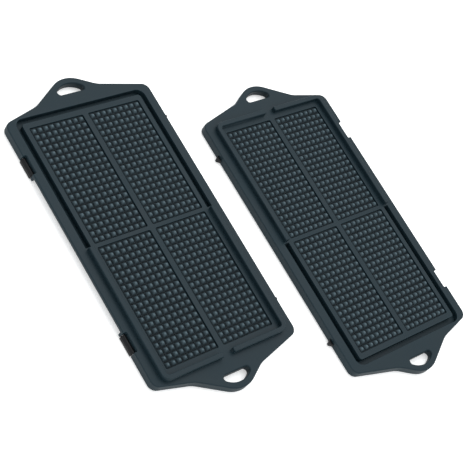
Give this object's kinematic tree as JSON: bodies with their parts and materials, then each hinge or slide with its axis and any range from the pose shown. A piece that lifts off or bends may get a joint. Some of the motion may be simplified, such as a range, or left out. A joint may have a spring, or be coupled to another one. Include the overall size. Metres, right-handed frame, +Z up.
{
  "type": "tire traction mats",
  "caption": "Pair of flat rectangular traction mats with a loop handle at each end, studded tread pads, a groove and tongue round the panel, and side latches and hooks.",
  "frame": {"origin": "on the ground, below the middle of the pair's bounding box", "axes": "+Z up, +Y along the mats' length, +X from the left mat to the right mat"},
  "size_m": [0.4744, 0.515, 0.0198],
  "materials": {
    "frame_plastic": "moulded, fine satin texture",
    "tread_rubber": "moulded, matte",
    "catch_plastic": "moulded, matte black",
    "pin_steel": "drawn wire"
  },
  "bodies": {
    "left_mat": {"left_mat_frame": "frame_plastic", "left_mat_groove_latch_pad": "tread_rubber", "left_mat_groove_hook_pad": "tread_rubber", "left_mat_groove_latch_pin": "pin_steel", "left_mat_groove_hook": "catch_plastic", "left_mat_tongue_latch_pad": "tread_rubber", "left_mat_tongue_hook_pad": "tread_rubber", "left_mat_tongue_latch_pin": "pin_steel", "left_mat_tongue_hook": "catch_plastic"},
    "left_mat_groove_latch_body": {"left_mat_groove_latch": "catch_plastic"},
    "left_mat_tongue_latch_body": {"left_mat_tongue_latch": "catch_plastic"},
    "right_mat_groove_latch_body": {"right_mat_groove_latch": "catch_plastic"},
    "right_mat_tongue_latch_body": {"right_mat_tongue_latch": "catch_plastic"},
    "right_mat": {"right_mat_frame": "frame_plastic", "right_mat_groove_latch_pad": "tread_rubber", "right_mat_groove_hook_pad": "tread_rubber", "right_mat_groove_latch_pin": "pin_steel", "right_mat_groove_hook": "catch_plastic", "right_mat_tongue_latch_pad": "tread_rubber", "right_mat_tongue_hook_pad": "tread_rubber", "right_mat_tongue_latch_pin": "pin_steel", "right_mat_tongue_hook": "catch_plastic"}
  },
  "joints": [
    {"name": "left_mat_groove_latch_turn", "type": "hinge", "parent": "left_mat", "child": "left_mat_groove_latch_body", "pos_m": [-0.234, 0.1588, 0.006], "axis": [0, 1, 0], "range_deg": [0, 75]},
    {"name": "left_mat_tongue_latch_turn", "type": "hinge", "parent": "left_mat", "child": "left_mat_tongue_latch_body", "pos_m": [-0.234, -0.0818, 0.006], "axis": [0, 1, 0], "range_deg": [0, 75]},
    {"name": "right_mat_groove_latch_turn", "type": "hinge", "parent": "right_mat", "child": "right_mat_groove_latch_body", "pos_m": [0.234, -0.1588, 0.006], "axis": [0, -1, 0], "range_deg": [0, 75]},
    {"name": "right_mat_tongue_latch_turn", "type": "hinge", "parent": "right_mat", "child": "right_mat_tongue_latch_body", "pos_m": [0.234, 0.0818, 0.006], "axis": [0, -1, 0], "range_deg": [0, 75]},
    {"name": "right_mat_lift", "type": "slide", "parent": "left_mat", "child": "right_mat", "axis": [0, 0, 1], "range_m": [0, 0.2]}
  ]
}
